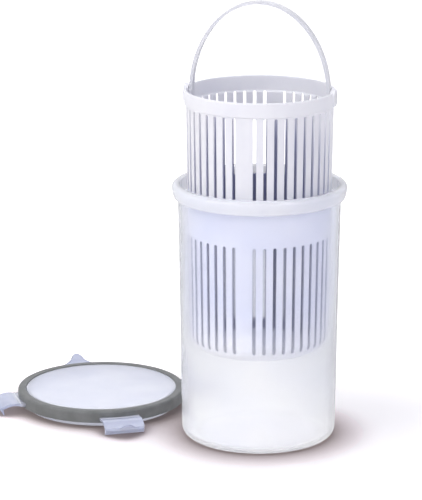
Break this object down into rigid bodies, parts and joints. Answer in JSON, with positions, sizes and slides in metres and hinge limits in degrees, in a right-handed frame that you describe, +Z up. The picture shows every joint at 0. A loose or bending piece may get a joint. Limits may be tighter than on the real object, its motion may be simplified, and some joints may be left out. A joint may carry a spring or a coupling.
{
  "type": "pickle keeper with lift strainer",
  "caption": "Tall round frosted food keeper with a slotted strainer basket that lifts out by a swinging bail, and a sealed snap-flap lid lying beside it.",
  "frame": {"origin": "centre of the tub's foot ring, on the surface that it stands on", "axes": "+Z up along the tub's axis, +X along the pivot line of the bail, -Y towards the solid front rib of the basket"},
  "size_m": [0.2621, 0.1758, 0.3036],
  "materials": {
    "tub_plastic": "frosted translucent moulding",
    "basket_plastic": "satin white moulding",
    "lid_plastic": "satin translucent moulding",
    "seal": "matt soft seal"
  },
  "bodies": {
    "tub": {"tub": "tub_plastic"},
    "basket": {"strainer_basket": "basket_plastic"},
    "bail": {"bail_handle": "basket_plastic"},
    "lid": {"lid_cover": "lid_plastic", "lid_seal_ring": "seal"},
    "flap_1": {"snap_flap_1": "lid_plastic"},
    "flap_2": {"snap_flap_2": "lid_plastic"},
    "flap_3": {"snap_flap_3": "lid_plastic"},
    "flap_4": {"snap_flap_4": "lid_plastic"}
  },
  "joints": [
    {"name": "basket_lift", "type": "slide", "parent": "tub", "child": "basket", "axis": [0, 0, 1], "range_m": [-0.06, 0.125]},
    {"name": "bail_swing", "type": "hinge", "parent": "basket", "child": "bail", "pos_m": [0, 0, 0.2396], "axis": [1, 0, 0], "range_deg": [-58, 58]},
    {"name": "lid_lift", "type": "slide", "parent": "tub", "child": "lid", "axis": [0, 0, 1], "range_m": [0, 0.15]},
    {"name": "flap_1_hinge", "type": "hinge", "parent": "lid", "child": "flap_1", "pos_m": [-0.17853, 0.00918, 0.007], "axis": [-0.4695, 0.8829, 0], "range_deg": [-80.27, 34]},
    {"name": "flap_2_hinge", "type": "hinge", "parent": "lid", "child": "flap_2", "pos_m": [-0.09549, -0.0162, 0.007], "axis": [-0.8829, -0.4695, 0], "range_deg": [-80.27, 34]},
    {"name": "flap_3_hinge", "type": "hinge", "parent": "lid", "child": "flap_3", "pos_m": [-0.07011, 0.06683, 0.007], "axis": [0.4695, -0.8829, 0], "range_deg": [-80.27, 34]},
    {"name": "flap_4_hinge", "type": "hinge", "parent": "lid", "child": "flap_4", "pos_m": [-0.15315, 0.09222, 0.007], "axis": [0.8829, 0.4695, 0], "range_deg": [-80.27, 34]}
  ]
}
